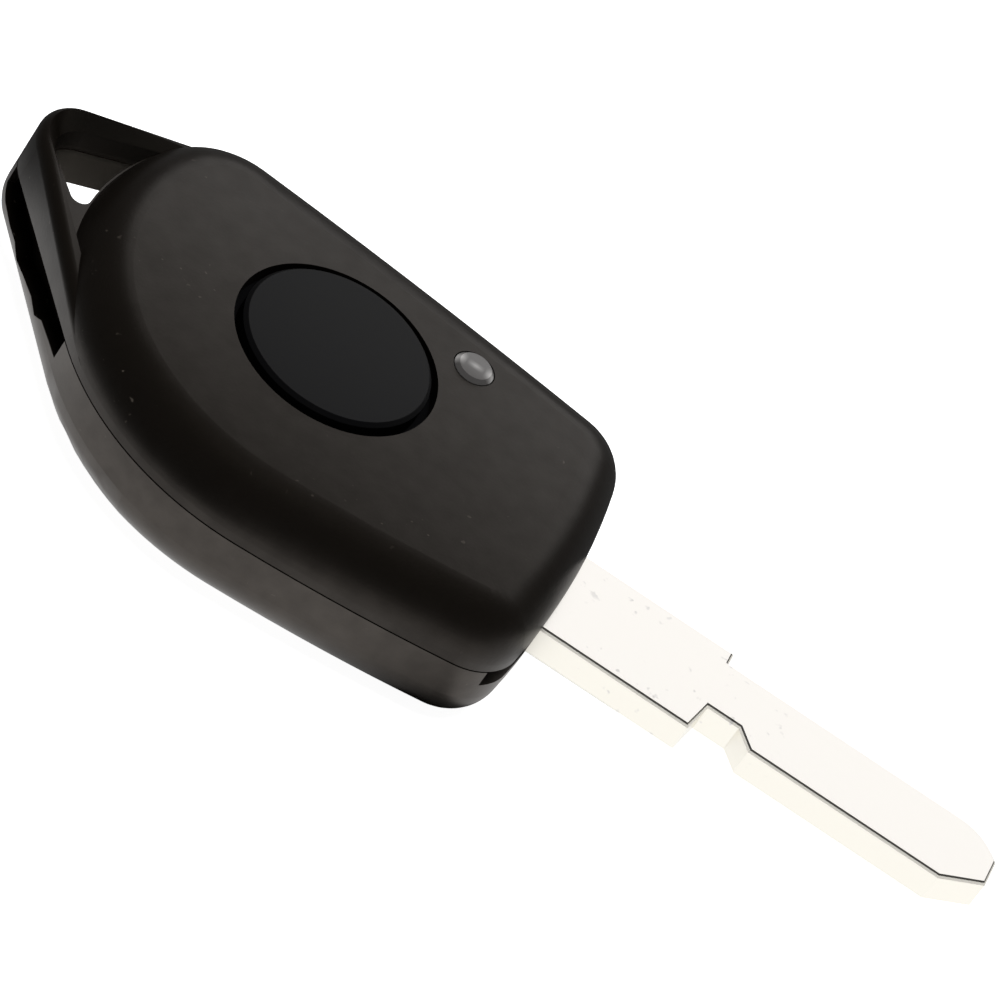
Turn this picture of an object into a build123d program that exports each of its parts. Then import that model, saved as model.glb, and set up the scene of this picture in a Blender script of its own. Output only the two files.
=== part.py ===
from build123d import *
import os
from math import acos, atan2, cos, degrees, hypot, radians, sin, sqrt, tan

os.makedirs("parts", exist_ok=True)

# The remote key lies on its back. +X runs along the blade to its tip, +Y is the side of the
# key-ring loop and +Z leaves through the push button. The origin is on the flat underside, on
# the axis of the button. All lengths are millimetres and all angles degrees.

# Case, both halves
case_height = 13.1
upper_height = 5.6
wall = 1.6
top_rounding = 4.6
base_rounding = 4.0
hollow_chamfer = 1.8
parting_groove = 0.15

# Corner circles that the plan outline wraps round: centre and radius
rear_x, rear_y, rear_radius = 0.2, 2.4, 25.0
left_rear_bearing, left_rear_radius = 154.3, 8.8
ring_x, ring_y, ring_radius = -26.95, 5.5, 5.3
left_front_x, left_front_y, left_front_radius = 21.4, 8.1, 6.0
right_front_x, right_front_y, right_front_radius = 21.8, -14.5, 5.5

# Radii of the slightly bowed sides between those corners
left_bow, front_bow, right_bow = 500.0, 90.0, 160.0

# Underside of the case, which climbs towards the loop
ramp_start = -7.0
ramp_angle = 3.0

# Key-ring loop: widths of its band, its heights over the split at three points of its sloping
# top, its inner slope, the flare under the hole and how its top fades into the body
tail_band, arm_band = 4.4, 1.4
hole_x, hole_y, hole_radius = -27.2, 7.2, 3.1
hole_nook_radius = 1.0
hole_ledge = 0.15
flare_top, flare_reach = 3.7, 3.2
heel_height, ring_height, arm_height = 2.6, 4.3, 3.1
slope_band, slope_bottom, slope_rim = 2.2, 2.2, 0.5
loop_rounding = 1.0
heel_fade_angle = 17.0
arm_fade_angle = 20.0

# Broken rim of the lower half below the loop: distance along the tail wall, depth under the split
broken_rim = [
    (0.2, 2.2), (2.2, 2.3), (4.7, 2.5), (6.1, 3.4), (7.9, 3.0), (10.7, 3.4),
    (13.0, 4.0), (14.4, 3.2), (16.4, 3.3), (18.8, 2.9), (20.4, 2.0),
]
broken_depth = 1.9

# Lip of the upper half, which seats inside the lower half, and its snap catches
lip_thickness = 0.8
lip_depth = 1.0
lip_root = 1.2
lip_clearance = 0.1
catch_length = 4.0
catch_height = 0.4
catch_reach = 0.3
catch_root = 0.2
catch_clearance = 0.1
catch_shares = (0.3, 0.7)

# Pry notch in the front of the lower half's rim
notch_near, notch_far = -18.3, -11.5
notch_height = 1.7
notch_depth = 1.3

# Push button, the ribs under its top, whose depth is a share of its boss, and the ribs of the case
# that guide it under the roof
button_radius = 9.0
button_gap = 0.78
button_proud = 0.55
button_plate = 1.4
button_skirt = 1.3
button_edge = 0.35
button_flange_radius = 10.5
button_flange_thickness = 0.8
button_flange_clearance = 0.05
button_boss_width = 3.6
button_rib = 0.8
button_rib_share = 20 / 31
button_to_plunger = 0.2
guide_clearance = 0.1
guide_rib_count, guide_rib, guide_rib_length = 8, 0.7, 2.5
guide_depth = 1.4

# Indicator lens and the lamp under it
lens_x, lens_y = 10.97, 8.33
lens_radius = 1.9
lens_gap = 0.12
lens_crown = 0.35
lens_pipe_radius = 2.4
lamp_length, lamp_width, lamp_base_height = 3.2, 1.6, 0.5
lamp_window_length, lamp_height = 2.2, 1.1
lamp_to_lens = 0.4

# Blade: a milled flat bar with two shoulders, and its tang inside the case
blade_y = -3.25
blade_thickness = 3.4
blade_wide_far, blade_wide_near = 5.65, 6.1
blade_narrow_far, blade_narrow_near = 4.15, 4.3
near_shoulder_x = 43.1
far_shoulder_x = 43.6
step_start_x, step_end_x, step_ramp_x = 43.8, 47.0, 48.7
step_half_width = 2.35
blade_tip_x = 72.4
near_point_x, near_tip_offset = 68.4, -1.65
far_point_x, far_tip_offset = 67.9, 1.65
blade_edge = 0.3
blade_clearance = 0.1
tang_end_x = 13.2
tang_wide_x = 24.0
tang_width = 8.8
tang_post_x, tang_post_width, tang_post_clearance = 17.0, 2.6, 0.1
pin_x, pin_radius, pin_bottom, pin_clearance = 21.5, 1.0, 2.1, 0.03
seat_width = 8.0
seat_back_x, seat_front_x = 14.5, 27.0
clamp_rib, clamp_length, clamp_spread = 1.2, 7.0, 5.8

# Circuit board, the posts it stands on and the posts that hold it down; what lies towards the round
# rear of the body has its place as a share of the body's radius
board_bottom = 4.5
board_thickness = 1.0
board_inset = 2.9
board_front_x, board_ear_x, board_ear_y = 12.0, 14.6, 3.4
post_shares = [(-0.62, 0.36), (-0.50, -0.46), (0.30, -0.58), (0.16, 0.50)]
post_width = 3.0
post_pin_width, post_pin_height = 1.3, 1.8
post_hole_width = 1.5
hold_down_width = 3.6
hold_down_hole_depth = 1.2

# Coin cell between ribs of the lower half, and its contacts
cell_x, cell_y = 2.0, -1.0
cell_bottom = 2.1
cell_radius = 10.0
cell_thickness = 1.6
cell_cap_radius, cell_cap_step = 8.6, 0.15
cell_gap = 0.15
cell_rib_count, cell_rib, cell_rib_length, cell_rib_height = 6, 0.8, 4.0, 3.2
cell_pad_width = 7.0
clip_strip, clip_width, clip_gap = 0.3, 5.0, 0.1
leaf_y = -6.0
leaf_strip, leaf_width, leaf_bend = 0.2, 3.0, 1.0
leaf_points = [(-7.0, 0.0), (-4.0, 0.0), (-1.0, 1.0), (1.0, 1.0), (3.2, 0.5)]

# Tactile switch under the button
switch_size = 6.0
switch_body_height = 3.0
switch_floor = 1.4
switch_well_width = 4.6
switch_cover_thickness = 0.3
switch_mouth_radius = 1.9
plunger_radius, plunger_height = 1.75, 5.0
plunger_flange_width, plunger_flange_bottom, plunger_flange_thickness = 4.2, 2.3, 0.6
snap_dome_radius, snap_dome_crown_radius = 2.1, 0.9
snap_dome_strip, snap_dome_sides = 0.12, 12
terminal_strip, terminal_width = 0.3, 0.7
terminal_offset, terminal_reach = 2.0, 3.4
terminal_clearance = 0.02
lead_slot_length, lead_slot_width = 0.5, 0.9
lead_stub = 0.5

# Controller chip on the board
chip_x, chip_y, chip_length, chip_width, chip_height = -10.5, -0.5, 8.7, 3.9, 1.5
chip_lead_count, chip_lead_pitch, chip_lead_width = 7, 1.27, 0.42
chip_lead_reach, chip_lead_foot, chip_lead_strip, chip_lead_height = 1.05, 0.5, 0.2, 0.8

# Crystal can, resonator, transistor and coil
crystal_x, crystal_share = -2.0, -0.52
crystal_length, crystal_width, crystal_height = 10.4, 4.6, 2.6
resonator_share_x, resonator_share_y = -0.32, 0.416
resonator_size, resonator_height = 5.0, 1.4
resonator_lid_step = 0.3
transistor_x, transistor_y = -1.5, 8.0
transistor_length, transistor_width, transistor_height = 2.9, 1.3, 1.0
transistor_lead_width, transistor_lead_reach = 0.4, 0.5
transistor_lead_strip, transistor_lead_pitch = 0.2, 1.9
coil_x, coil_y, coil_width, coil_height = 8.3, -7.5, 4.2, 2.4
coil_flange, coil_core_width = 0.5, 1.8
coil_winding_radius, coil_winding_sides = 2.0, 12

# Chip capacitors and resistors
capacitor_shares = [(-0.656, 0.14), (-0.656, -0.16), (0.224, 0.224), (0.34, 0.06)]
resistor_shares = [(-0.16, -0.288), (0.04, -0.288), (0.232, -0.12), (-0.08, 0.48)]
capacitor_height = 0.9
resistor_height = 0.5
chip_part_length, chip_part_width = 2.0, 1.25
end_cap_length, end_cap_step = 0.4, 0.03

# Transponder in its own frame beside the tang
transponder_x, transponder_y = 17.2, -13.7
transponder_length, transponder_width, transponder_height = 11.0, 5.0, 2.6
transponder_gap = 0.15
transponder_frame_wall, transponder_frame_height = 0.8, 3.0

split_height = case_height - upper_height
board_top = board_bottom + board_thickness
roof = case_height - wall
blade_bottom = split_height - blade_thickness
button_top = case_height + button_proud
button_ceiling = button_top - button_plate
boss_bottom = board_top + plunger_height + button_to_plunger
button_rib_depth = button_rib_share * (button_ceiling - boss_bottom)
button_bottom = roof - button_flange_clearance - button_flange_thickness
terminal_x = terminal_reach - terminal_strip / 2
crystal_y = crystal_share * rear_radius
resonator_x, resonator_y = resonator_share_x * rear_radius, resonator_share_y * rear_radius
post_places = [(x * rear_radius, y * rear_radius) for x, y in post_shares]
capacitor_places = [(x * rear_radius, y * rear_radius) for x, y in capacitor_shares]
resistor_places = [(x * rear_radius, y * rear_radius) for x, y in resistor_shares]


def polar(x, y, radius, angle):
    """Point at a radius and bearing from a centre."""
    return x + radius * cos(radians(angle)), y + radius * sin(radians(angle))


def bearing(from_x, from_y, to_x, to_y):
    """Bearing from one point to another."""
    return degrees(atan2(to_y - from_y, to_x - from_x))


def side_between(first, second):
    """Outward bearings where a side leaves one corner circle and meets the next, and its centre."""
    x1, y1, r1, side = first
    x2, y2, r2, _ = second
    if side == "touch":
        big, small = (second, first) if r2 > r1 else (first, second)
        out = bearing(big[0], big[1], small[0], small[1])
        return out, out, None
    gap = hypot(x2 - x1, y2 - y1)
    heading = atan2(y2 - y1, x2 - x1)
    if side == "straight":
        out = degrees(heading - acos((r1 - r2) / gap))
        return out, out, None
    reach = side - r1
    along = (reach**2 - (side - r2) ** 2 + gap**2) / (2 * gap)
    across = sqrt(reach**2 - along**2)
    cx = x1 + along * cos(heading) - across * sin(heading)
    cy = y1 + along * sin(heading) + across * cos(heading)
    return bearing(cx, cy, x1, y1), bearing(cx, cy, x2, y2), (cx, cy)


def wrap(corners, inset):
    """Draw the closed outline round the corner circles, moved inwards by inset."""
    sides = [side_between(corner, corners[(i + 1) % len(corners)]) for i, corner in enumerate(corners)]
    for i, (x, y, radius, side) in enumerate(corners):
        arrive = sides[i - 1][1]
        leave, meet, centre = sides[i]
        CenterArc((x, y), radius - inset, arrive, (leave - arrive) % 360)
        if side == "straight":
            next_x, next_y, next_radius, _ = corners[(i + 1) % len(corners)]
            Line(polar(x, y, radius - inset, leave), polar(next_x, next_y, next_radius - inset, leave))
        elif centre:
            CenterArc(centre, side - inset, leave, (meet - leave) % 360)


def outline(corners, inset=0.0, mode=Mode.ADD):
    """Fill the outline round the corner circles, moved inwards by inset."""
    with BuildLine() as rim:
        wrap(corners, inset)
    make_face(rim.edges(), mode=mode)


def sloping_plane(x, y, z, toward_x, toward_y, fall):
    """Plane through a point, which drops by fall for each millimetre in a plan direction."""
    reach = hypot(toward_x, toward_y)
    return Plane(origin=(x, y, z), z_dir=(fall * toward_x / reach, fall * toward_y / reach, 1))


left_rear_x, left_rear_y = polar(rear_x, rear_y, rear_radius - left_rear_radius, left_rear_bearing)
left_front = (left_front_x, left_front_y, left_front_radius, left_bow)
left_rear = (left_rear_x, left_rear_y, left_rear_radius, "straight")
left_rear_to_body = (left_rear_x, left_rear_y, left_rear_radius, "touch")
ring = (ring_x, ring_y, ring_radius, "straight")
rear = (rear_x, rear_y, rear_radius, right_bow)
right_front = (right_front_x, right_front_y, right_front_radius, front_bow)
case_corners = [left_front, left_rear, ring, rear, right_front]
body_corners = [left_front, left_rear_to_body, rear, right_front]

# Where the tail wall of the loop leaves the body, its heel, and where the loop's arm does
heel_bearing = side_between(ring, rear)[0]
heel_x, heel_y = polar(rear_x, rear_y, rear_radius, heel_bearing)
arm_x, arm_y = polar(left_rear_x, left_rear_y, left_rear_radius, side_between(left_rear, ring)[0])
loop_run = (ring_x - heel_x, ring_y - heel_y)


def catch_box(height, reach, clearance, mode):
    """Four snap catches on the long sides, or their recesses, outwards from the lip."""
    for first, second in ((left_front, left_rear), (rear, right_front)):
        start, end, centre = side_between(first, second)
        for share in catch_shares:
            angle = start + ((end - start) % 360) * share
            x, y = polar(centre[0], centre[1], first[3] - wall - lip_clearance - catch_root, angle)
            with Locations(Location((x, y, height), (0, 0, angle))):
                Box(
                    catch_root + lip_clearance + reach,
                    catch_length + 2 * clearance,
                    catch_height + clearance,
                    align=(Align.MIN, Align.CENTER, Align.MIN),
                    mode=mode,
                )


def lower_block(corners, inset):
    """Fill the lower half inside an outline and over its underside, both moved inwards by inset."""
    with BuildPart() as block:
        with BuildSketch(Plane.XZ):
            with BuildLine():
                back_x, front_x = ring_x - 2 * ring_radius, right_front_x + 2 * right_front_radius
                Polyline(
                    (back_x, split_height),
                    (back_x, inset + (ramp_start - back_x) * tan(radians(ramp_angle))),
                    (ramp_start, inset),
                    (front_x, inset),
                    (front_x, split_height),
                    close=True,
                )
            make_face()
        extrude(amount=2 * rear_radius, both=True)
        with BuildSketch(Plane.XY):
            outline(corners, inset)
        extrude(amount=split_height, mode=Mode.INTERSECT)
    return block.part


def underside_edges(block):
    """Edges that bound the underside of a block."""
    floors = [f for f in block.faces() if f.normal_at().Z < -0.9]
    return [e for e in block.edges() if sum(any(e.is_same(g) for g in f.edges()) for f in floors) == 1]


def loop_outline(tail, arm, inset=0.0):
    """Fill the case outline with its loop drawn in to the bands round the key-ring hole."""
    corners = [
        left_front,
        (left_rear_x, left_rear_y, left_rear_radius - arm, "straight"),
        (hole_x, hole_y, hole_radius, "straight"),
        (rear_x, rear_y, rear_radius - tail, right_bow),
        right_front,
    ]
    outline(corners, inset)


def hole_outline(ledge):
    """Fill the key-ring hole between the bands of the loop and the round of the body."""
    with BuildSketch(Plane.XY) as gap:
        loop_outline(tail_band, arm_band, ledge)
        outline(body_corners, -ledge, mode=Mode.SUBTRACT)
        nook = gap.vertices().sort_by_distance((heel_x, heel_y, 0))[0]
        fillet(nook, hole_nook_radius)
    return gap.sketch


# Inner slope of the loop, which widens upwards from a low web round the hole to an even rim
with BuildPart() as loop_slope:
    with BuildSketch(Plane.XY.offset(split_height + slope_bottom)):
        loop_outline(slope_band, arm_band)
    with BuildSketch(Plane.XY.offset(case_height)):
        outline(case_corners, slope_rim)
    loft(ruled=True)

# Flare under the key-ring hole
with BuildPart() as hole_flare:
    with BuildSketch(Plane.XY.offset(flare_top - flare_reach)):
        loop_outline(tail_band, arm_band, hole_ledge - flare_reach)
    with BuildSketch(Plane.XY.offset(flare_top)):
        loop_outline(tail_band, arm_band, hole_ledge)
    loft(ruled=True)
    with BuildSketch(Plane.XY):
        outline(body_corners, -hole_ledge)
    extrude(amount=split_height, mode=Mode.SUBTRACT)

# Loop half of the upper case: a block with a sloping top that fades into the body
with BuildPart() as loop_block:
    with BuildSketch(Plane.XY.offset(split_height)):
        outline(case_corners)
        outline(body_corners, top_rounding, mode=Mode.SUBTRACT)
        with Locations((rear_x + rear_radius - left_rear_radius / 2, 0)):
            Rectangle(2 * rear_radius + left_rear_radius, 4 * rear_radius, mode=Mode.SUBTRACT)
    extrude(amount=case_height - split_height)
    heel_point = Vector(heel_x, heel_y, split_height + heel_height)
    ring_point = Vector(ring_x, ring_y, split_height + ring_height)
    arm_point = Vector(arm_x, arm_y, split_height + arm_height)
    loop_top = Plane(origin=heel_point, z_dir=(arm_point - heel_point).cross(ring_point - heel_point))
    split(bisect_by=loop_top, keep=Keep.BOTTOM)
    top_edges = loop_block.faces().sort_by(Axis.Z)[-1].edges()
    fillet(
        [e for e in top_edges if hypot(e.center().X - rear_x, e.center().Y - rear_y) > rear_radius - 0.6
         and e.center().X < rear_x - left_rear_radius],
        loop_rounding,
    )
    heel_fall = tan(radians(heel_fade_angle))
    heel_fade = sloping_plane(*heel_point, -loop_run[0], -loop_run[1], heel_fall)
    split(bisect_by=heel_fade, keep=Keep.BOTTOM)
    arm_fade = sloping_plane(*arm_point, 1, 0, tan(radians(arm_fade_angle)))
    split(bisect_by=arm_fade, keep=Keep.BOTTOM)
    add(loop_slope.part, mode=Mode.SUBTRACT)

# Hollow of the upper half, under a roof of even thickness
with BuildPart() as upper_hollow:
    with BuildSketch(Plane.XY.offset(split_height)):
        outline(body_corners, wall)
    extrude(amount=roof - split_height)
    chamfer(upper_hollow.faces().sort_by(Axis.Z)[-1].edges(), hollow_chamfer)

with BuildPart() as upper_shell:
    with BuildSketch(Plane.XY.offset(split_height)):
        outline(body_corners)
    extrude(amount=case_height - split_height)
    fillet(upper_shell.faces().sort_by(Axis.Z)[-1].edges(), top_rounding)
    add(loop_block.part)
    add(upper_hollow.part, mode=Mode.SUBTRACT)
    # Ribs that guide the button
    with BuildSketch(Plane.XY.offset(roof - guide_depth)):
        with PolarLocations(button_flange_radius + guide_clearance + guide_rib / 2, guide_rib_count):
            Rectangle(guide_rib, guide_rib_length)
    extrude(amount=guide_depth)
    # Posts that hold the board down, hollow for the locating pins, and ribs that hold the tang
    with BuildSketch(Plane.XY.offset(board_top)):
        with Locations(*post_places):
            Rectangle(hold_down_width, hold_down_width)
    extrude(amount=roof - board_top)
    with BuildSketch(Plane.XY.offset(board_top)):
        with Locations(*post_places):
            Rectangle(post_hole_width, post_hole_width)
    extrude(amount=hold_down_hole_depth, mode=Mode.SUBTRACT)
    with BuildSketch(Plane.XY.offset(split_height)):
        with Locations((pin_x, blade_y - clamp_spread / 2), (pin_x, blade_y + clamp_spread / 2)):
            Rectangle(clamp_length, clamp_rib)
    extrude(amount=roof - split_height)
    # Lip that seats inside the lower half, open where the blade passes
    with BuildSketch(Plane.XY.offset(split_height - lip_depth)):
        outline(body_corners, wall + lip_clearance)
        outline(body_corners, wall + lip_clearance + lip_thickness, mode=Mode.SUBTRACT)
        with Locations((right_front_x, blade_y)):
            Rectangle(4 * right_front_radius, 2 * (blade_wide_near + blade_clearance), mode=Mode.SUBTRACT)
    extrude(amount=lip_depth)
    with BuildSketch(Plane.XY.offset(split_height)):
        outline(body_corners, wall - lip_clearance)
        outline(body_corners, wall + lip_clearance + lip_thickness, mode=Mode.SUBTRACT)
    extrude(amount=lip_root)
    catch_box(split_height - lip_depth + catch_clearance, catch_reach, 0, Mode.ADD)
    # Holes for the key ring, the button and the lens
    with BuildSketch(Plane.XY.offset(split_height)):
        add(hole_outline(0))
        Circle(button_radius + button_gap)
        with Locations((lens_x, lens_y)):
            Circle(lens_radius + lens_gap)
    extrude(amount=case_height, mode=Mode.SUBTRACT)
    # Fine groove along the parting line
    with BuildSketch(Plane.XY.offset(split_height)):
        outline(case_corners)
        outline(case_corners, parting_groove, mode=Mode.SUBTRACT)
    extrude(amount=parting_groove, mode=Mode.SUBTRACT)

# Outer form of the lower half, still solid, and its hollow
with BuildPart() as lower_form:
    add(lower_block(case_corners, 0))
    fillet(underside_edges(lower_form), base_rounding)

with BuildPart() as lower_hollow:
    add(lower_block(body_corners, wall))
    chamfer(underside_edges(lower_hollow), hollow_chamfer)

# Posts, cell ribs, transponder frame and blade seat, cut to the outer form
with BuildPart() as lower_fittings:
    with BuildSketch(Plane.XY):
        with Locations(*post_places):
            Rectangle(post_width, post_width)
    extrude(amount=board_bottom)
    with BuildSketch(Plane((cell_x, cell_y, 0))):
        Rectangle(cell_pad_width, cell_pad_width)
    extrude(amount=cell_bottom - clip_strip)
    with BuildSketch(Plane((cell_x, cell_y, 0))):
        with PolarLocations(cell_radius + cell_gap + cell_rib / 2, cell_rib_count):
            Rectangle(cell_rib, cell_rib_length)
    extrude(amount=cell_rib_height)
    with BuildSketch(Plane((transponder_x, transponder_y, 0))):
        around = 2 * (transponder_gap + transponder_frame_wall)
        Rectangle(transponder_length + around, transponder_width + around)
        Rectangle(
            transponder_length + 2 * transponder_gap,
            transponder_width + 2 * transponder_gap,
            mode=Mode.SUBTRACT,
        )
    extrude(amount=transponder_frame_height)
    with BuildSketch(Plane.XY):
        with Locations((seat_back_x, blade_y)):
            Rectangle(seat_front_x - seat_back_x, seat_width, align=(Align.MIN, Align.CENTER))
    extrude(amount=blade_bottom)
    add(lower_form.part, mode=Mode.INTERSECT)

with BuildPart() as lower_shell:
    add(lower_form.part)
    add(lower_hollow.part, mode=Mode.SUBTRACT)
    add(lower_fittings.part)
    # Locating pins through the board, the post through the tang and the hole for its pin
    with BuildSketch(Plane.XY.offset(board_bottom)):
        with Locations(*post_places):
            Rectangle(post_pin_width, post_pin_width)
    extrude(amount=post_pin_height)
    with BuildSketch(Plane((tang_post_x, blade_y, blade_bottom))):
        Rectangle(tang_post_width, tang_post_width)
    extrude(amount=blade_thickness - tang_post_clearance)
    with BuildSketch(Plane((pin_x, blade_y, pin_bottom))):
        Circle(pin_radius + pin_clearance)
    extrude(amount=split_height, mode=Mode.SUBTRACT)
    # Key-ring hole, and the window for the blade
    with BuildSketch(Plane.XY):
        add(hole_outline(hole_ledge))
    extrude(amount=split_height, mode=Mode.SUBTRACT)
    add(hole_flare.part, mode=Mode.SUBTRACT)
    with BuildSketch(Plane.XY.offset(blade_bottom)):
        with Locations((seat_front_x, blade_y + (blade_wide_far - blade_wide_near) / 2)):
            Rectangle(right_front_radius, blade_wide_far + blade_wide_near + 2 * blade_clearance)
    extrude(amount=blade_thickness, mode=Mode.SUBTRACT)
    # Pry notch in the front rim
    with BuildSketch(Plane.XY.offset(split_height - notch_height)):
        with Locations((right_front_x, (notch_near + notch_far) / 2)):
            Rectangle(4 * right_front_radius, notch_far - notch_near)
        outline(case_corners, notch_depth, mode=Mode.SUBTRACT)
    extrude(amount=notch_height, mode=Mode.SUBTRACT)
    catch_box(split_height - lip_depth, catch_reach + catch_clearance, catch_clearance, Mode.SUBTRACT)
    # Broken rim of the tail
    tail_side = Plane(
        origin=(heel_x, heel_y, split_height),
        x_dir=(sin(radians(heel_bearing)), -cos(radians(heel_bearing)), 0),
        z_dir=(cos(radians(heel_bearing)), sin(radians(heel_bearing)), 0),
    )
    with BuildSketch(tail_side.offset(-broken_depth)):
        with BuildLine():
            Polyline((broken_rim[0][0], 0), *broken_rim, (broken_rim[-1][0], 0), close=True)
        make_face()
    extrude(amount=2 * broken_depth, mode=Mode.SUBTRACT)

# Push button: a capped skirt with a flange under the roof and a boss over the switch
with BuildPart() as button:
    with BuildSketch(Plane.XY.offset(button_bottom)):
        Circle(button_radius)
    extrude(amount=button_top - button_bottom)
    chamfer(button.faces().sort_by(Axis.Z)[-1].edges(), button_edge)
    with BuildSketch(Plane.XY.offset(button_bottom)):
        Circle(button_flange_radius)
    extrude(amount=button_flange_thickness)
    with BuildSketch(Plane.XY.offset(button_bottom)):
        Circle(button_radius - button_skirt)
    extrude(amount=button_ceiling - button_bottom, mode=Mode.SUBTRACT)
    with BuildSketch(Plane.XY.offset(button_ceiling - button_rib_depth)):
        Rectangle(2 * button_radius - button_skirt, button_rib)
        Rectangle(button_rib, 2 * button_radius - button_skirt)
    extrude(amount=button_rib_depth)
    with BuildSketch(Plane.XY.offset(boss_bottom)):
        Rectangle(button_boss_width, button_boss_width)
    extrude(amount=button_ceiling - boss_bottom)

# Lens over the indicator lamp, with its light pipe
with BuildPart() as led_lens:
    with BuildSketch(Plane((lens_x, lens_y, board_top + lamp_height + lamp_to_lens))):
        Circle(lens_pipe_radius)
    extrude(amount=roof - board_top - lamp_height - lamp_to_lens)
    with BuildSketch(Plane((lens_x, lens_y, roof))):
        Circle(lens_radius)
    extrude(amount=wall + lens_crown)
    chamfer(led_lens.faces().sort_by(Axis.Z)[-1].edges(), lens_crown)

# Blade with its tang
with BuildPart() as key_blade:
    tang = tang_width / 2
    with BuildSketch(Plane((0, blade_y, blade_bottom))):
        with BuildLine():
            Polyline(
                (far_point_x, blade_narrow_far),
                (far_shoulder_x, blade_narrow_far),
                (far_shoulder_x, blade_wide_far),
                (tang_wide_x, blade_wide_far),
                (tang_wide_x, tang),
                (tang_end_x, tang),
                (tang_end_x, -tang),
                (tang_wide_x, -tang),
                (tang_wide_x, -blade_wide_near),
                (near_shoulder_x, -blade_wide_near),
                (step_start_x, -step_half_width),
                (step_end_x, -step_half_width),
                (step_ramp_x, -blade_narrow_near),
                (near_point_x, -blade_narrow_near),
                (blade_tip_x, near_tip_offset),
                (blade_tip_x, far_tip_offset),
            )
            TangentArc((far_point_x, blade_narrow_far), (blade_tip_x, far_tip_offset), tangent=(1, 0))
        make_face()
    extrude(amount=blade_thickness)
    faces_by_height = key_blade.faces().sort_by(Axis.Z)
    chamfer(faces_by_height[0].edges() + faces_by_height[-1].edges(), blade_edge)
    with BuildSketch(Plane((tang_post_x, blade_y, blade_bottom))):
        Rectangle(tang_post_width + 2 * tang_post_clearance, tang_post_width + 2 * tang_post_clearance)
    extrude(amount=blade_thickness, mode=Mode.SUBTRACT)
    with Locations((pin_x, blade_y, split_height)):
        Hole(pin_radius + pin_clearance)

# Pin through the tang into the blade seat
with BuildPart() as blade_pin:
    with BuildSketch(Plane((pin_x, blade_y, pin_bottom))):
        Circle(pin_radius)
    extrude(amount=split_height - tang_post_clearance - pin_bottom)

# Circuit board with its locating holes and the slots for the switch's legs
with BuildPart() as circuit_board:
    with BuildSketch(Plane.XY.offset(board_bottom)):
        outline(body_corners, board_inset)
        with Locations((board_front_x, board_ear_y)):
            Rectangle(rear_radius, 2 * rear_radius, align=(Align.MIN, Align.MAX), mode=Mode.SUBTRACT)
        with Locations((board_ear_x, board_ear_y)):
            Rectangle(rear_radius, 2 * rear_radius, align=(Align.MIN, Align.MIN), mode=Mode.SUBTRACT)
        with Locations(*post_places):
            Rectangle(post_hole_width, post_hole_width, mode=Mode.SUBTRACT)
        with GridLocations(2 * terminal_x, 2 * terminal_offset, 2, 2):
            Rectangle(lead_slot_length, lead_slot_width, mode=Mode.SUBTRACT)
    extrude(amount=board_thickness)

# Coin cell, the clip under it and the leaf contact on top of it
with BuildPart() as coin_cell:
    with BuildSketch(Plane((cell_x, cell_y, cell_bottom))):
        Circle(cell_radius)
    extrude(amount=cell_thickness - cell_cap_step)
    with BuildSketch(Plane((cell_x, cell_y, cell_bottom))):
        Circle(cell_cap_radius)
    extrude(amount=cell_thickness)

with BuildPart() as battery_clip:
    with BuildSketch(Plane.YZ.offset(cell_x - clip_width / 2)):
        with Locations((cell_y, cell_bottom - clip_strip)):
            Rectangle(
                2 * (cell_radius + clip_gap + clip_strip),
                board_bottom - cell_bottom + clip_strip,
                align=(Align.CENTER, Align.MIN),
            )
        with Locations((cell_y, cell_bottom)):
            Rectangle(
                2 * (cell_radius + clip_gap),
                board_bottom - cell_bottom,
                align=(Align.CENTER, Align.MIN),
                mode=Mode.SUBTRACT,
            )
    extrude(amount=clip_width)

with BuildPart() as battery_contact:
    with BuildSketch(Plane.XZ.offset(-leaf_y - leaf_width / 2)):
        with BuildLine() as leaf:
            pad_z = board_bottom - leaf_strip / 2
            drop = pad_z - (cell_bottom + cell_thickness + leaf_strip / 2)
            bends = [(cell_x + x, pad_z - drop * share) for x, share in leaf_points]
            FilletPolyline(*bends, radius=leaf_bend)
        trace(leaf.line, line_width=leaf_strip)
    extrude(amount=leaf_width)

# Tactile switch: base, cover, plunger, snap dome and two bent terminals
with BuildPart() as switch_base:
    with BuildSketch(Plane.XY.offset(board_top)):
        Rectangle(switch_size, switch_size)
    extrude(amount=switch_body_height)
    with BuildSketch(Plane.XY.offset(board_top + switch_floor)):
        Rectangle(switch_well_width, switch_well_width)
    extrude(amount=switch_body_height, mode=Mode.SUBTRACT)
    with BuildSketch(Plane.XY.offset(board_top)):
        with Locations((0, -terminal_offset), (0, terminal_offset)):
            Rectangle(switch_size, terminal_width + 2 * terminal_clearance)
    extrude(amount=terminal_strip + terminal_clearance, mode=Mode.SUBTRACT)

with BuildPart() as switch_cover:
    with BuildSketch(Plane.XY.offset(board_top + switch_body_height)):
        Rectangle(switch_size, switch_size)
        Circle(switch_mouth_radius, mode=Mode.SUBTRACT)
    extrude(amount=switch_cover_thickness)

with BuildPart() as switch_plunger:
    with BuildSketch(Plane.XY.offset(board_top + plunger_flange_bottom)):
        Rectangle(plunger_flange_width, plunger_flange_width)
    extrude(amount=plunger_flange_thickness)
    with BuildSketch(Plane.XY.offset(board_top + plunger_flange_bottom)):
        Circle(plunger_radius)
    extrude(amount=plunger_height - plunger_flange_bottom)

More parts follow.
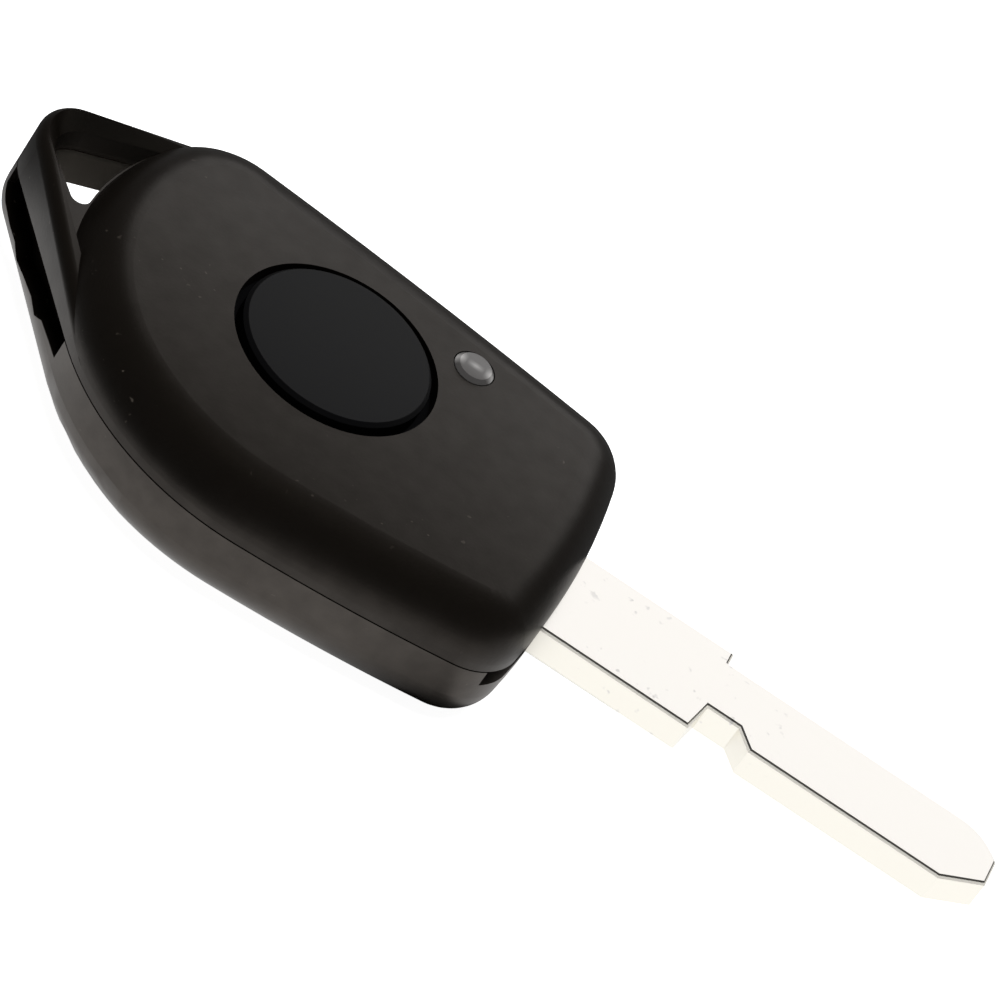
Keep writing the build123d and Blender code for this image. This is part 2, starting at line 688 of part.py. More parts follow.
with BuildPart() as switch_dome:
    for strip, mode in ((0, Mode.ADD), (snap_dome_strip, Mode.SUBTRACT)):
        with BuildSketch(Plane.XY.offset(board_top + switch_floor)):
            RegularPolygon(snap_dome_radius - strip, snap_dome_sides)
        with BuildSketch(Plane.XY.offset(board_top + plunger_flange_bottom - strip)):
            RegularPolygon(snap_dome_crown_radius - strip, snap_dome_sides)
        loft(ruled=True, mode=mode)


def switch_terminal(y):
    """Strip under the switch with a leg through the board at each end."""
    with BuildPart() as terminal:
        with BuildSketch(Plane((0, y, board_top))):
            Rectangle(2 * terminal_reach, terminal_width)
        extrude(amount=terminal_strip)
        with BuildSketch(Plane((0, y, board_bottom - lead_stub))):
            with Locations((-terminal_x, 0), (terminal_x, 0)):
                Rectangle(terminal_strip, terminal_width)
        extrude(amount=board_thickness + lead_stub)
    return terminal.part


# Indicator lamp on the board
with BuildPart() as indicator_led:
    with BuildSketch(Plane((lens_x, lens_y, board_top))):
        Rectangle(lamp_length, lamp_width)
    extrude(amount=lamp_base_height)
    with BuildSketch(Plane((lens_x, lens_y, board_top))):
        Rectangle(lamp_window_length, lamp_width)
    extrude(amount=lamp_height)

# Controller chip with bent leads on both long sides
with BuildPart() as microcontroller:
    with BuildSketch(Plane((chip_x, chip_y, board_top + chip_lead_strip))):
        Rectangle(chip_width, chip_length)
    extrude(amount=chip_height - chip_lead_strip)
    knee = chip_width / 2 + chip_lead_reach - chip_lead_foot
    toe = knee + chip_lead_foot
    with BuildSketch(Plane((chip_x, chip_y, board_top))):
        with GridLocations(2 * toe - chip_lead_foot, chip_lead_pitch, 2, chip_lead_count):
            Rectangle(chip_lead_foot, chip_lead_width)
    extrude(amount=chip_lead_strip)
    with BuildSketch(Plane((chip_x, chip_y, board_top))):
        with GridLocations(2 * knee + chip_lead_strip, chip_lead_pitch, 2, chip_lead_count):
            Rectangle(chip_lead_strip, chip_lead_width)
    extrude(amount=chip_lead_height)
    with BuildSketch(Plane((chip_x, chip_y, board_top + chip_lead_height - chip_lead_strip))):
        with GridLocations(0, chip_lead_pitch, 1, chip_lead_count):
            Rectangle(2 * (knee + chip_lead_strip), chip_lead_width)
    extrude(amount=chip_lead_strip)

with BuildPart() as crystal:
    with BuildSketch(Plane((crystal_x, crystal_y, board_top))):
        SlotOverall(crystal_length, crystal_width)
    extrude(amount=crystal_height)

with BuildPart() as resonator:
    with BuildSketch(Plane((resonator_x, resonator_y, board_top))):
        Rectangle(resonator_size, resonator_size)
    extrude(amount=resonator_height - resonator_lid_step)
    with BuildSketch(Plane((resonator_x, resonator_y, board_top))):
        Rectangle(resonator_size - 2 * resonator_lid_step, resonator_size - 2 * resonator_lid_step)
    extrude(amount=resonator_height)

with BuildPart() as transistor:
    with BuildSketch(Plane((transistor_x, transistor_y, board_top))):
        Rectangle(transistor_length, transistor_width)
    extrude(amount=transistor_height)
    lead_y = (transistor_width + transistor_lead_reach) / 2
    with BuildSketch(Plane((transistor_x, transistor_y, board_top))):
        half_pitch = transistor_lead_pitch / 2
        with Locations((0, lead_y), (-half_pitch, -lead_y), (half_pitch, -lead_y)):
            Rectangle(transistor_lead_width, transistor_lead_reach)
    extrude(amount=transistor_lead_strip)

with BuildPart() as inductor_core:
    with BuildSketch(Plane((coil_x, coil_y, board_top))):
        Rectangle(coil_width, coil_width)
    extrude(amount=coil_flange)
    with BuildSketch(Plane((coil_x, coil_y, board_top + coil_height - coil_flange))):
        Rectangle(coil_width, coil_width)
    extrude(amount=coil_flange)
    with BuildSketch(Plane((coil_x, coil_y, board_top))):
        Rectangle(coil_core_width, coil_core_width)
    extrude(amount=coil_height)

with BuildPart() as inductor_winding:
    with BuildSketch(Plane((coil_x, coil_y, board_top + coil_flange))):
        RegularPolygon(coil_winding_radius, coil_winding_sides)
        Rectangle(coil_core_width, coil_core_width, mode=Mode.SUBTRACT)
    extrude(amount=coil_height - 2 * coil_flange)

with BuildPart() as transponder_chip:
    with BuildSketch(Plane((transponder_x, transponder_y, wall))):
        Rectangle(transponder_length, transponder_width)
    extrude(amount=transponder_height)


def chip_part(x, y, height):
    """Small board part with a raised metal cap at each end."""
    with BuildPart() as small:
        with BuildSketch(Plane((x, y, board_top))):
            Rectangle(chip_part_length, chip_part_width)
        extrude(amount=height)
        with BuildSketch(Plane((x, y, board_top))):
            with GridLocations(chip_part_length - end_cap_length, 0, 2, 1):
                Rectangle(end_cap_length, chip_part_width + 2 * end_cap_step)
        extrude(amount=height + end_cap_step)
    return small.part


pieces = {
    "upper_shell": upper_shell.part,
    "lower_shell": lower_shell.part,
    "button": button.part,
    "led_lens": led_lens.part,
    "key_blade": key_blade.part,
    "blade_pin": blade_pin.part,
    "circuit_board": circuit_board.part,
    "coin_cell": coin_cell.part,
    "battery_clip": battery_clip.part,
    "battery_contact": battery_contact.part,
    "switch_base": switch_base.part,
    "switch_cover": switch_cover.part,
    "switch_plunger": switch_plunger.part,
    "switch_dome": switch_dome.part,
    "indicator_led": indicator_led.part,
    "microcontroller": microcontroller.part,
    "crystal": crystal.part,
    "resonator": resonator.part,
    "transistor": transistor.part,
    "inductor_core": inductor_core.part,
    "inductor_winding": inductor_winding.part,
    "transponder_chip": transponder_chip.part,
}
for number, y in enumerate((-terminal_offset, terminal_offset), 1):
    pieces[f"switch_terminal_{number}"] = switch_terminal(y)
for number, (x, y) in enumerate(capacitor_places, 1):
    pieces[f"capacitor_{number}"] = chip_part(x, y, capacitor_height)
for number, (x, y) in enumerate(resistor_places, 1):
    pieces[f"resistor_{number}"] = chip_part(x, y, resistor_height)

for name, piece in pieces.items():
    piece.label = name
    export_step(piece, f"parts/{name}.step")
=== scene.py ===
import math

import bpy
from mathutils import Matrix, Vector

bl_info = {
    "name": "Car remote key looks",
    "version": (1, 0, 0),
    "blender": (4, 5, 0),
    "location": "View3D > Sidebar > Remote key",
    "description": "Finishes, worn details and studio for a car remote key",
    "category": "Object",
}

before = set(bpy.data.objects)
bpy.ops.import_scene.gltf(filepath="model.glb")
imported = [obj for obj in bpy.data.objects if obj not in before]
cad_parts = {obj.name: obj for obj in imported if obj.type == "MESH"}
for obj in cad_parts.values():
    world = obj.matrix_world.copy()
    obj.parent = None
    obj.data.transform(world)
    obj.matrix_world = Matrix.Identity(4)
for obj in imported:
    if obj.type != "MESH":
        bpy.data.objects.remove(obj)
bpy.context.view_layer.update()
MM = 0.001

# The frame: +X runs along the blade to its tip, -Y points to the camera, +Z up through the button
LENGTHWISE, SIDEWAYS, NEARER, UPWARD = (1, 0, 0), (0, 1, 0), (0, -1, 0), (0, 0, 1)

# Tail wall of the key-ring loop: its outward direction in plan, the direction along it and its
# distance from the origin
TAIL_BEARING = math.radians(217.36)
TAIL_NORMAL = (math.cos(TAIL_BEARING), math.sin(TAIL_BEARING), 0.0)
TAIL_RUN = (math.sin(TAIL_BEARING), -math.cos(TAIL_BEARING), 0.0)
TAIL_OFFSET = 23.385 * MM

# Broken recess in the rim of the lower half, given painted shade by taking its reflections off:
# how far it reaches inwards from the tail wall, where it starts in height and along the wall, the
# depth past which every face is darkened, and how far a face outside that depth has to look up to
# be darkened
RECESS_INWARD = (0.1 * MM, 2.3 * MM)
RECESS_BOTTOM = 3.3 * MM
RECESS_START = -2.0 * MM
RECESS_BACK = 1.0 * MM
RECESS_LEDGE = 0.4

# Wall of the key-ring hole that gets painted light, a paler grey standing in for light from
# below: its direction, its front end, and the spans of facing, of distance from the tail wall and
# of height over which the painted light comes in
PAINTED_LIGHT_NORMAL = (0.49, -0.87, 0.0)
PAINTED_LIGHT_FRONT = -20.0 * MM
PAINTED_LIGHT_FACING = (0.55, 0.98)
PAINTED_LIGHT_INWARD = (2.4 * MM, 4.0 * MM)
PAINTED_LIGHT_HEIGHT = (8.0 * MM, 7.0 * MM)
PAINTED_LIGHT_ABOVE = 0.25

# Height over which the polish of the side walls comes in
POLISH_HEIGHT = (10.5 * MM, 8.0 * MM)

# Noises of the case, as scale in features per metre and detail
MOTTLE, GRAIN, CLOUD = (450.0, 4.0), (3200.0, 3.0), (60.0, 3.0)
DUST_SPOTS, DUST_AREAS = (1500.0, 1.0), (90.0, 2.0)
MIDDLE_TONES = (0.3, 0.7)
MOTTLE_SPREAD = 0.12
GRAIN_STRENGTH = 0.5
CASE_ROUGHNESS = (0.34, 0.41)
SPOT_EDGE = (0.74, 0.78)
AREA_START, AREA_GAIN, AREA_END = 0.6, 0.3, 0.8
DUST_COLOUR = "5a544d"

# Button: share of the case's gloss, and the height below which its wall gets painted shade, its
# reflections taken off so that it stays dark in the well
BUTTON_GLOSS = 0.52
BUTTON_ROUGHNESS = 0.5
BUTTON_WALL = 13.25 * MM

# Lens: its centre in plan, the radius of its crown, its colours, and the spans of the painted
# highlights on its two ends and of the fainter painted highlight streak between them
LENS_X, LENS_Y = 10.97 * MM, 8.33 * MM
LENS_CROWN = 6.0 * MM
LENS_DARK, LENS_HIGHLIGHT = "636160", "cfcdcb"
LENS_ROUGHNESS, LENS_GLOSS = 0.35, 0.4
HIGHLIGHT_END_ALONG, HIGHLIGHT_END_ACROSS = (0.9 * MM, 1.8 * MM), (0.9 * MM, 0.1 * MM)
HIGHLIGHT_STREAK_ALONG, HIGHLIGHT_STREAK_ACROSS, HIGHLIGHT_STREAK_LEVEL = (0.9 * MM, 0.1 * MM), (0.5 * MM, 0.0), 0.45

# Blade: a face that looks up by less than SIDE_FACING is a side, and a side that looks up by more
# than CHAMFER_FACING is a chamfer
SIDE_FACING, CHAMFER_FACING = 0.95, 0.3
STEEL_ROUGHNESS, CHAMFER_ROUGHNESS = 0.28, 0.5
SCUFF_SPOTS, SCUFF_AREAS = (900.0, 2.0), (70.0, 1.0)
SCUFF_SPOT_EDGE, SCUFF_AREA_EDGE = (0.66, 0.74), (0.5, 0.65)
SCUFF_COLOUR = (0.7, 0.68, 0.66, 1.0)

# Material, colour, metallic, roughness and nodes of the parts inside the case
INSIDE = (
    ("board_green", "2e5a3a", 0.0, 0.4, ("circuit_board",)),
    ("cell_steel", "b9bbbd", 1.0, 0.3, ("coin_cell", "crystal")),
    ("contact_metal", "c9c5b4", 1.0, 0.35,
     ("battery_clip", "battery_contact", "switch_cover", "switch_dome", "switch_terminal_1",
      "switch_terminal_2")),
    ("black_moulding", "1f2022", 0.0, 0.45,
     ("switch_base", "switch_plunger", "microcontroller", "resonator", "transistor",
      "transponder_chip", "resistor_1", "resistor_2", "resistor_3", "resistor_4")),
    ("lamp_clear", "b7342c", 0.0, 0.2, ("indicator_led",)),
    ("ferrite", "3a3c40", 0.0, 0.6, ("inductor_core",)),
    ("copper_wire", "a8642c", 1.0, 0.35, ("inductor_winding",)),
    ("ceramic_tan", "a88a63", 0.0, 0.5,
     ("capacitor_1", "capacitor_2", "capacitor_3", "capacitor_4")),
)

# Floor: its side, its own white, the dimmer grey that reflections see, and its glow to the camera
FLOOR_SIZE = 6.0
FLOOR_WHITE, FLOOR_DIM = (0.8, 0.8, 0.8, 1), (0.12, 0.12, 0.12, 1)
FLOOR_GLOW = 0.95

# Parts of the floor that are white in reflections, as spans over which the white comes in: a band
# in front of the near side that ends before the tail, a strip before the front wall and a part
# under the blade
BAND_DIRECTION = (-0.5, -0.87, 0.0)
BAND_NEAR, BAND_FAR, BAND_TAIL = (6 * MM, 14 * MM), (42 * MM, 32 * MM), (-42 * MM, -36 * MM)
STRIP_ALONG, STRIP_NEARER = (27 * MM, 28.5 * MM), (5 * MM, 8 * MM)
UNDER_ALONG, UNDER_NEARER = (36 * MM, 38 * MM), (-8 * MM, -5 * MM)

WORLD_GREY = (0.05, 0.05, 0.05, 1)
CARD_PLACE, CARD_TARGET, CARD_SIZE = (0.4, 2.15, 1.3), (0.4, 0, 0), (2.8, 1.8)
FILL_PLACE, FILL_TARGET, FILL_SIZE = (0.0, 0.05, 0.9), (0, 0, 0), (0.6, 0.6)

# Point that the camera looks at, its sensor in millimetres and its clipping distances
AIM = Vector((19.118, 2.064, 7.5)) * MM
SENSOR = 36.0
CLIP_NEAR, CLIP_FAR = 0.05, 20.0


def srgb(code):
    """Linear colour of a hex code."""
    parts = [int(code[i:i + 2], 16) / 255 for i in (0, 2, 4)]
    return [p / 12.92 if p <= 0.04045 else ((p + 0.055) / 1.055) ** 2.4 for p in parts] + [1.0]


class Finish(bpy.types.PropertyGroup):
    """Looks of the remote key."""

    case: bpy.props.FloatVectorProperty(
        name="Case", description="Plastic of both halves", subtype="COLOR", size=4,
        default=srgb("15120f"))
    sheen: bpy.props.FloatVectorProperty(
        name="Sheen", description="Tint of the light that the case reflects", subtype="COLOR",
        size=4, default=(1.0, 0.88, 0.78, 1.0))
    # Painted light: a paler grey that stands in for light from below on the wall inside the
    # key-ring hole
    painted_light_below: bpy.props.FloatVectorProperty(
        name="Painted_light_below", description="Plastic inside the key-ring hole, greyed by the ring",
        subtype="COLOR", size=4, default=srgb("756f67"))
    gloss: bpy.props.FloatProperty(
        name="Gloss", description="Strength of the case's reflections", subtype="FACTOR",
        default=0.29)
    gloss_lower: bpy.props.FloatProperty(
        name="Lower gloss", description="Strength of the lower half's reflections, before polish",
        subtype="FACTOR", default=0.5)
    polish: bpy.props.FloatProperty(
        name="Polish", description="Gain of the reflections on the side walls, from handling",
        default=1.5)
    crown: bpy.props.FloatProperty(
        name="Crown", description="Radius to which the top is crowned in its shading",
        default=0.15, unit="LENGTH")
    button: bpy.props.FloatVectorProperty(
        name="Button", description="Push button", subtype="COLOR", size=4,
        default=srgb("0e0e0f"))
    blade: bpy.props.FloatVectorProperty(
        name="Blade", description="Bare metal of the blade", subtype="COLOR", size=4,
        default=(0.955, 0.925, 0.88, 1.0))
    blade_side: bpy.props.FloatVectorProperty(
        name="Blade side", description="Milled sides of the blade", subtype="COLOR", size=4,
        default=(0.94, 0.91, 0.83, 1.0))
    edge_line: bpy.props.FloatProperty(
        name="Edge line", description="Depth of the dark line along the blade's edges",
        default=0.13 * MM, unit="LENGTH")
    grain: bpy.props.FloatProperty(
        name="Grain", description="Depth of the fine texture of the case",
        default=0.012 * MM, unit="LENGTH")
    dust: bpy.props.FloatProperty(
        name="Dust", description="Share of the case that carries dust specks", subtype="FACTOR",
        default=0.35)


class Studio(bpy.types.PropertyGroup):
    """Camera and light."""

    azimuth: bpy.props.FloatProperty(
        name="Azimuth", description="Direction of the camera round the key", subtype="ANGLE",
        default=math.radians(-2.728))
    elevation: bpy.props.FloatProperty(
        name="Elevation", description="Height of the camera over the horizon", subtype="ANGLE",
        default=math.radians(39.122))
    roll: bpy.props.FloatProperty(
        name="Roll", description="Turn of the camera about its own axis", subtype="ANGLE",
        default=math.radians(35.287))
    distance: bpy.props.FloatProperty(
        name="Distance", description="Camera to the middle of the key", default=0.7,
        unit="LENGTH")
    lens: bpy.props.FloatProperty(
        name="Lens", description="Focal length in millimetres", default=289.8)
    card: bpy.props.FloatProperty(
        name="Card", description="Brightness of the card behind the key", default=1.13)
    fill: bpy.props.FloatProperty(
        name="Fill", description="Brightness of the overhead light", default=6.2)


def blank(name):
    """New material, with its node tree and its surface shader."""
    material = bpy.data.materials.new(name)
    material.use_nodes = True
    return material, material.node_tree, material.node_tree.nodes["Principled BSDF"]


def plain(name, colour, metallic, roughness):
    """Material of one colour."""
    material, _, shader = blank(name)
    shader.inputs["Base Color"].default_value = colour
    shader.inputs["Metallic"].default_value = metallic
    shader.inputs["Roughness"].default_value = roughness
    return material


def show(material, *names):
    """Give CAD nodes a material."""
    for name in names:
        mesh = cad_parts[name].data
        mesh.materials.clear()
        mesh.materials.append(material)


def calculate(tree, operation, *values):
    """Calculate with sockets or numbers."""
    made = tree.nodes.new("ShaderNodeMath")
    made.operation = operation
    for index, value in enumerate(values):
        if isinstance(value, (int, float)):
            made.inputs[index].default_value = value
        else:
            tree.links.new(value, made.inputs[index])
    return made.outputs[0]


def product(tree, first, *others):
    """Multiply sockets or numbers."""
    for other in others:
        first = calculate(tree, "MULTIPLY", first, other)
    return first


def ramp(tree, source, low, high, low_value=0.0, high_value=1.0):
    """Map a value from one span to another, clamped."""
    made = tree.nodes.new("ShaderNodeMapRange")
    for index, value in enumerate((low, high, low_value, high_value), 1):
        made.inputs[index].default_value = value
    tree.links.new(source, made.inputs[0])
    return made.outputs[0]


def blend(tree, factor, first, second):
    """Mix two colours or colour sockets."""
    made = tree.nodes.new("ShaderNodeMix")
    made.data_type = "RGBA"
    tree.links.new(factor, made.inputs[0])
    for socket, value in ((made.inputs[6], first), (made.inputs[7], second)):
        if isinstance(value, bpy.types.NodeSocket):
            tree.links.new(value, socket)
        else:
            socket.default_value = value
    return made.outputs[2]


def noise(tree, scale, detail):
    """Noise over object coordinates; scale is in features per metre."""
    place = tree.nodes.new("ShaderNodeTexCoord")
    made = tree.nodes.new("ShaderNodeTexNoise")
    made.inputs["Scale"].default_value = scale
    made.inputs["Detail"].default_value = detail
    tree.links.new(place.outputs["Object"], made.inputs["Vector"])
    return made.outputs["Fac"]


def component(tree, vector, direction):
    """Part of a vector that points along a direction."""
    made = tree.nodes.new("ShaderNodeVectorMath")
    made.operation = "DOT_PRODUCT"
    made.inputs[1].default_value = direction
    tree.links.new(vector, made.inputs[0])
    return made.outputs["Value"]


def along(tree, direction):
    """Distance of the shaded point from the origin along a direction."""
    return component(tree, tree.nodes.new("ShaderNodeTexCoord").outputs["Object"], direction)


def facing(tree, direction, normal="True Normal"):
    """How far the shaded face looks along a direction, from -1 to 1."""
    return component(tree, tree.nodes.new("ShaderNodeNewGeometry").outputs[normal], direction)


def inwards(tree):
    """Distance of the shaded point from the tail wall, into the loop."""
    return calculate(tree, "SUBTRACT", TAIL_OFFSET, along(tree, TAIL_NORMAL))


def crowned(tree, radius, middle_x=0.0, middle_y=0.0):
    """Height of a shallow dome, for shading a flat top as slightly crowned."""
    x = calculate(tree, "SUBTRACT", along(tree, LENGTHWISE), middle_x)
    y = calculate(tree, "SUBTRACT", along(tree, SIDEWAYS), middle_y)
    square = calculate(tree, "ADD", product(tree, x, x), product(tree, y, y))
    return product(tree, square, -0.5 / radius)


def bump_chain(tree, shader, *layers):
    """Drive the normal of a shader by heights in metres."""
    normal = None
    for height, strength in layers:
        bump = tree.nodes.new("ShaderNodeBump")
        bump.inputs["Strength"].default_value = strength
        bump.inputs["Distance"].default_value = 1.0
        tree.links.new(height, bump.inputs["Height"])
        if normal:
            tree.links.new(normal, bump.inputs["Normal"])
        normal = bump.outputs["Normal"]
    tree.links.new(normal, shader.inputs["Normal"])


def paint_shade(tree, shader, mask):
    """Painted shade: take the reflections off where the mask is 1, so that the part reads dark.
    """
    keep = calculate(tree, "SUBTRACT", 1.0, mask)
    level = shader.inputs["Specular IOR Level"]
    before = level.links[0].from_socket if level.links else level.default_value
    tree.links.new(product(tree, keep, before), level)


def case_plastic(name, look, gloss, crown):
    """Dark plastic with a fine spark-eroded grain, specks of dust, reflections strengthened low
    on the side walls by handling, and painted light from below on the key-ring hole's inner wall.
    """
    material, tree, shader = blank(name)
    height = along(tree, UPWARD)

    mottle = ramp(tree, noise(tree, *MOTTLE), *MIDDLE_TONES, (1 - MOTTLE_SPREAD) * gloss,
                  (1 + MOTTLE_SPREAD) * gloss)
    polish = ramp(tree, height, *POLISH_HEIGHT, 1.0, look.polish)
    tree.links.new(product(tree, mottle, polish), shader.inputs["Specular IOR Level"])
    shader.inputs["Specular Tint"].default_value = list(look.sheen)
    roughness = ramp(tree, noise(tree, *CLOUD), *MIDDLE_TONES, *CASE_ROUGHNESS)
    tree.links.new(roughness, shader.inputs["Roughness"])

    layers = [(product(tree, noise(tree, *GRAIN), look.grain), GRAIN_STRENGTH)]
    if crown:
        layers.insert(0, (crowned(tree, look.crown), 1.0))
    bump_chain(tree, shader, *layers)

    # Painted light: the inner wall of the key-ring hole turns paler grey, standing in for light
    # from below
    painted_light_below = product(
        tree,
        ramp(tree, facing(tree, PAINTED_LIGHT_NORMAL, "Normal"), *PAINTED_LIGHT_FACING),
        calculate(tree, "LESS_THAN", along(tree, LENGTHWISE), PAINTED_LIGHT_FRONT),
        ramp(tree, inwards(tree), *PAINTED_LIGHT_INWARD),
        ramp(tree, height, *PAINTED_LIGHT_HEIGHT, PAINTED_LIGHT_ABOVE, 1.0))
    base = blend(tree, painted_light_below, list(look.case), list(look.painted_light_below))
    dust = product(
        tree,
        ramp(tree, noise(tree, *DUST_SPOTS), *SPOT_EDGE),
        ramp(tree, noise(tree, *DUST_AREAS), AREA_START - AREA_GAIN * look.dust, AREA_END))
    tree.links.new(blend(tree, dust, base, srgb(DUST_COLOUR)), shader.inputs["Base Color"])
    return material, tree, shader


class KEY_OT_case(bpy.types.Operator):
    """Finish both halves of the case"""

    bl_idname = "remote_key.case"
    bl_label = "Case"

    def execute(self, context):
        look = context.scene.key_finish
        show(case_plastic("case_plastic", look, look.gloss, True)[0], "upper_shell")
        material, tree, shader = case_plastic("case_plastic_lower", look, look.gloss_lower, False)
        inward = inwards(tree)
        shallow, deep = RECESS_INWARD
        # Painted shade: the broken recess in the rim loses its reflections so that it reads dark
        recess_shade = product(
            tree,
            calculate(tree, "GREATER_THAN", inward, shallow),
            calculate(tree, "LESS_THAN", inward, deep),
            calculate(tree, "GREATER_THAN", along(tree, UPWARD), RECESS_BOTTOM),
            calculate(tree, "GREATER_THAN", along(tree, TAIL_RUN), RECESS_START),
            calculate(tree, "MAXIMUM", calculate(tree, "GREATER_THAN", inward, RECESS_BACK),
                      calculate(tree, "GREATER_THAN", facing(tree, UPWARD), RECESS_LEDGE)))
        paint_shade(tree, shader, recess_shade)
        show(material, "lower_shell")
        return {"FINISHED"}


class KEY_OT_button(bpy.types.Operator):
    """Finish the push button and the lens"""

    bl_idname = "remote_key.button"
    bl_label = "Button and lens"

    def execute(self, context):
        look = context.scene.key_finish
        rubber, tree, shader = blank("button_rubber")
        shader.inputs["Base Color"].default_value = list(look.button)
        shader.inputs["Specular IOR Level"].default_value = BUTTON_GLOSS * look.gloss
        shader.inputs["Roughness"].default_value = BUTTON_ROUGHNESS
        bump_chain(tree, shader, (crowned(tree, look.crown), 1.0))
        # Painted shade on the button's wall below the case top, where it sits in the well
        paint_shade(tree, shader, calculate(tree, "LESS_THAN", along(tree, UPWARD), BUTTON_WALL))
        show(rubber, "button")

        glass, tree, shader = blank("clear_lens")
        # Painted highlights: a paler colour at the lens's two ends and a fainter streak between
        # them
        x = calculate(tree, "SUBTRACT", along(tree, LENGTHWISE), LENS_X)
        y = calculate(tree, "SUBTRACT", along(tree, SIDEWAYS), LENS_Y)
        x, y = calculate(tree, "ABSOLUTE", x), calculate(tree, "ABSOLUTE", y)
        ends = product(tree, ramp(tree, x, *HIGHLIGHT_END_ALONG), ramp(tree, y, *HIGHLIGHT_END_ACROSS))
        streak_highlight = product(tree, ramp(tree, x, *HIGHLIGHT_STREAK_ALONG), ramp(tree, y, *HIGHLIGHT_STREAK_ACROSS))
        painted_highlight = calculate(tree, "MAXIMUM", ends, product(tree, streak_highlight, HIGHLIGHT_STREAK_LEVEL))
        tree.links.new(blend(tree, painted_highlight, srgb(LENS_DARK), srgb(LENS_HIGHLIGHT)),
                       shader.inputs["Base Color"])
        shader.inputs["Roughness"].default_value = LENS_ROUGHNESS
        shader.inputs["Specular IOR Level"].default_value = LENS_GLOSS
        bump_chain(tree, shader, (crowned(tree, LENS_CROWN, LENS_X, LENS_Y), 1.0))
        show(glass, "led_lens")
        return {"FINISHED"}


class KEY_OT_blade(bpy.types.Operator):
    """Finish the blade and its pin"""

    bl_idname = "remote_key.blade"
    bl_label = "Blade"

    def execute(self, context):
        look = context.scene.key_finish
        steel, tree, shader = blank("blade_steel")
        top = max(corner[2] for corner in bpy.data.objects["key_blade"].bound_box)
        up = facing(tree, UPWARD)
        side = calculate(tree, "LESS_THAN", up, SIDE_FACING)
        chamfer = product(tree, calculate(tree, "GREATER_THAN", up, CHAMFER_FACING), side)
        below_line = calculate(tree, "LESS_THAN", along(tree, UPWARD), top - look.edge_line)
        pale = product(tree, chamfer, below_line)
        scuffs = product(
            tree,
            ramp(tree, noise(tree, *SCUFF_SPOTS), *SCUFF_SPOT_EDGE),
            ramp(tree, noise(tree, *SCUFF_AREAS), *SCUFF_AREA_EDGE))
        base = blend(tree, side, list(look.blade), list(look.blade_side))
        tree.links.new(blend(tree, scuffs, base, SCUFF_COLOUR), shader.inputs["Base Color"])
        tree.links.new(calculate(tree, "SUBTRACT", 1.0, pale), shader.inputs["Metallic"])
        roughness = calculate(tree, "ADD", STEEL_ROUGHNESS,
                              product(tree, pale, CHAMFER_ROUGHNESS))
        tree.links.new(roughness, shader.inputs["Roughness"])
        show(steel, "key_blade", "blade_pin")
        return {"FINISHED"}


class KEY_OT_inside(bpy.types.Operator):
    """Finish the parts inside the case"""

    bl_idname = "remote_key.inside"
    bl_label = "Inside"

    def execute(self, context):
        for name, code, metallic, roughness, nodes in INSIDE:
            show(plain(name, srgb(code), metallic, roughness), *nodes)
        return {"FINISHED"}


def floor_material():
    """White floor that is dim in reflections, except in the parts that the near sides mirror."""
    material, tree, shader = blank("floor_white")
    shader.inputs["Roughness"].default_value = 1.0
    shader.inputs["Specular IOR Level"].default_value = 0.0
    path = tree.nodes.new("ShaderNodeLightPath")
    mirrored = path.outputs["Is Glossy Ray"]
    tree.links.new(blend(tree, mirrored, FLOOR_WHITE, FLOOR_DIM), shader.inputs["Base Color"])

    lengthwise, nearer = along(tree, LENGTHWISE), along(tree, NEARER)
    ahead = along(tree, BAND_DIRECTION)
    band = product(tree, ramp(tree, ahead, *BAND_NEAR), ramp(tree, ahead, *BAND_FAR))
    strip = product(tree, ramp(tree, lengthwise, *STRIP_ALONG), ramp(tree, nearer, *STRIP_NEARER))
    under = product(tree, ramp(tree, lengthwise, *UNDER_ALONG), ramp(tree, nearer, *UNDER_NEARER))
    white = calculate(tree, "MAXIMUM", band, calculate(tree, "MAXIMUM", strip, under))
    white = product(tree, white, ramp(tree, lengthwise, *BAND_TAIL), mirrored)
    seen = calculate(tree, "MAXIMUM", path.outputs["Is Camera Ray"],
                     path.outputs["Is Transmission Ray"])
    level = calculate(tree, "ADD", product(tree, seen, FLOOR_GLOW), white)
    shader.inputs["Emission Color"].default_value = (1, 1, 1, 1)
    tree.links.new(level, shader.inputs["Emission Strength"])
    return material


def lamp(scene, name, place, target, size, radiance, glossy=True):
    """Add a rectangular lamp that looks at a target."""
    light = bpy.data.lights.new(name, "AREA")
    light.shape = "RECTANGLE"
    width, height = size
    light.size, light.size_y = width, height
    light.energy = radiance * math.pi * width * height
    made = bpy.data.objects.new(name, light)
    scene.collection.objects.link(made)
    made.location = place
    made.rotation_mode = "QUATERNION"
    made.rotation_quaternion = (Vector(target) - Vector(place)).to_track_quat("-Z", "Y")
    made.visible_glossy = glossy


def camera_place(studio):
    """Where the camera stands and how it is turned."""
    azimuth, elevation, roll = studio.azimuth, studio.elevation, studio.roll
    back = Vector((math.sin(azimuth) * math.cos(elevation),
                   -math.cos(azimuth) * math.cos(elevation), math.sin(elevation)))
    level = (-back).cross(Vector(UPWARD)).normalized()
    steep = level.cross(-back)
    right = math.cos(roll) * level + math.sin(roll) * steep
    up = math.cos(roll) * steep - math.sin(roll) * level
    turn = Matrix((right, up, back)).transposed().to_4x4()
    return Matrix.Translation(AIM + studio.distance * back) @ turn


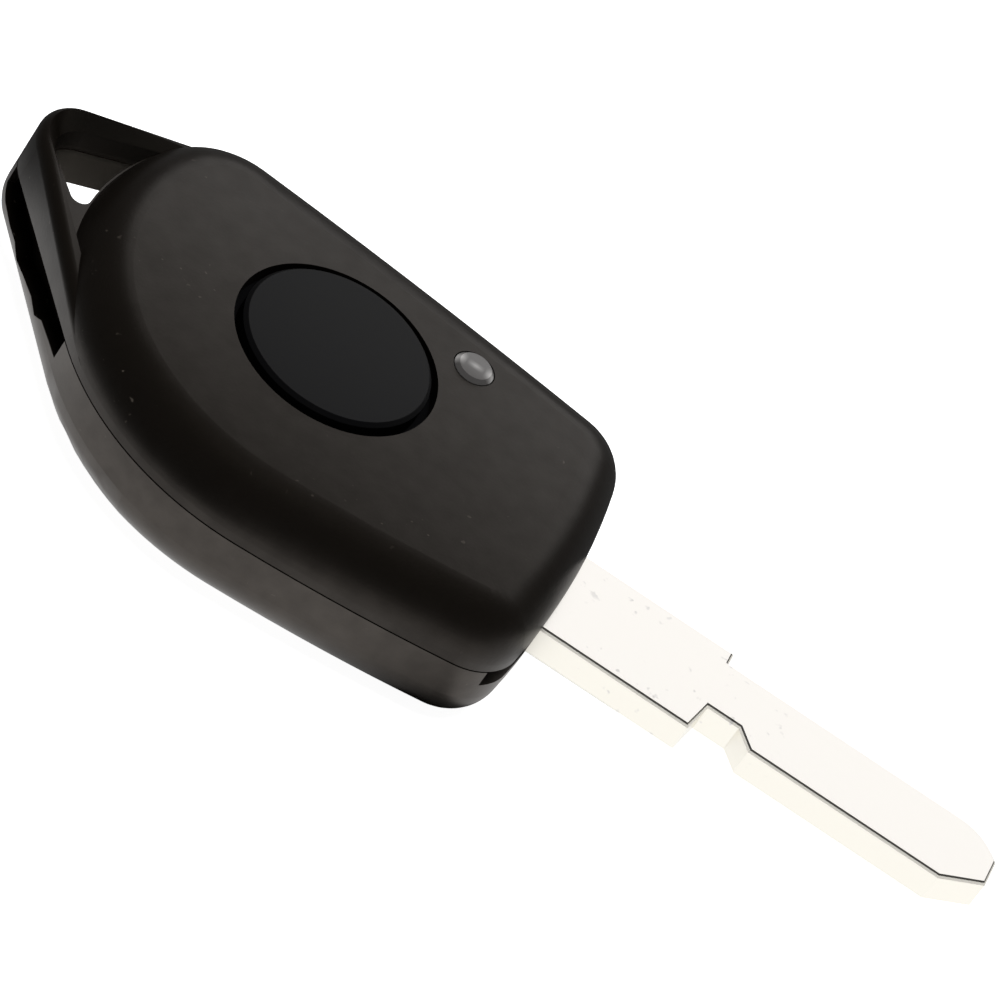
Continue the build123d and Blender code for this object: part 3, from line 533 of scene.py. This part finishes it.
class KEY_OT_studio(bpy.types.Operator):
    """Floor, card, lights and camera"""

    bl_idname = "remote_key.studio"
    bl_label = "Studio"

    def execute(self, context):
        scene = context.scene
        studio = scene.key_studio
        bpy.ops.object.select_all(action="DESELECT")
        bpy.ops.mesh.primitive_plane_add(size=FLOOR_SIZE, location=(0, 0, 0))
        floor = context.object
        floor.name = "floor"
        floor.data.materials.append(floor_material())

        world = bpy.data.worlds.new("studio")
        world.use_nodes = True
        world.node_tree.nodes["Background"].inputs["Color"].default_value = WORLD_GREY
        scene.world = world
        lamp(scene, "card", CARD_PLACE, CARD_TARGET, CARD_SIZE, studio.card)
        lamp(scene, "fill", FILL_PLACE, FILL_TARGET, FILL_SIZE, studio.fill, glossy=False)

        camera = bpy.data.cameras.new("camera")
        camera.lens = studio.lens
        camera.sensor_width = SENSOR
        camera.clip_start, camera.clip_end = CLIP_NEAR, CLIP_FAR
        holder = bpy.data.objects.new("camera", camera)
        scene.collection.objects.link(holder)
        holder.matrix_world = camera_place(studio)
        scene.camera = holder
        scene.view_settings.view_transform = "Standard"
        return {"FINISHED"}


class KEY_PT_panel(bpy.types.Panel):
    """Steps that finish the remote key"""

    bl_idname = "KEY_PT_panel"
    bl_label = "Remote key"
    bl_space_type = "VIEW_3D"
    bl_region_type = "UI"
    bl_category = "Remote key"

    def draw(self, context):
        for group in (context.scene.key_finish, context.scene.key_studio):
            for name in group.__annotations__:
                self.layout.prop(group, name)
        for operator in OPERATORS:
            self.layout.operator(operator.bl_idname)


OPERATORS = (KEY_OT_case, KEY_OT_button, KEY_OT_blade, KEY_OT_inside, KEY_OT_studio)
CLASSES = (Finish, Studio, *OPERATORS, KEY_PT_panel)


def register():
    for item in CLASSES:
        bpy.utils.register_class(item)
    bpy.types.Scene.key_finish = bpy.props.PointerProperty(type=Finish)
    bpy.types.Scene.key_studio = bpy.props.PointerProperty(type=Studio)


def unregister():
    del bpy.types.Scene.key_studio
    del bpy.types.Scene.key_finish
    for item in reversed(CLASSES):
        bpy.utils.unregister_class(item)


def main():
    register()
    bpy.ops.remote_key.case()
    bpy.ops.remote_key.button()
    bpy.ops.remote_key.blade()
    bpy.ops.remote_key.inside()
    bpy.ops.remote_key.studio()


if __name__ == "__main__":
    main()
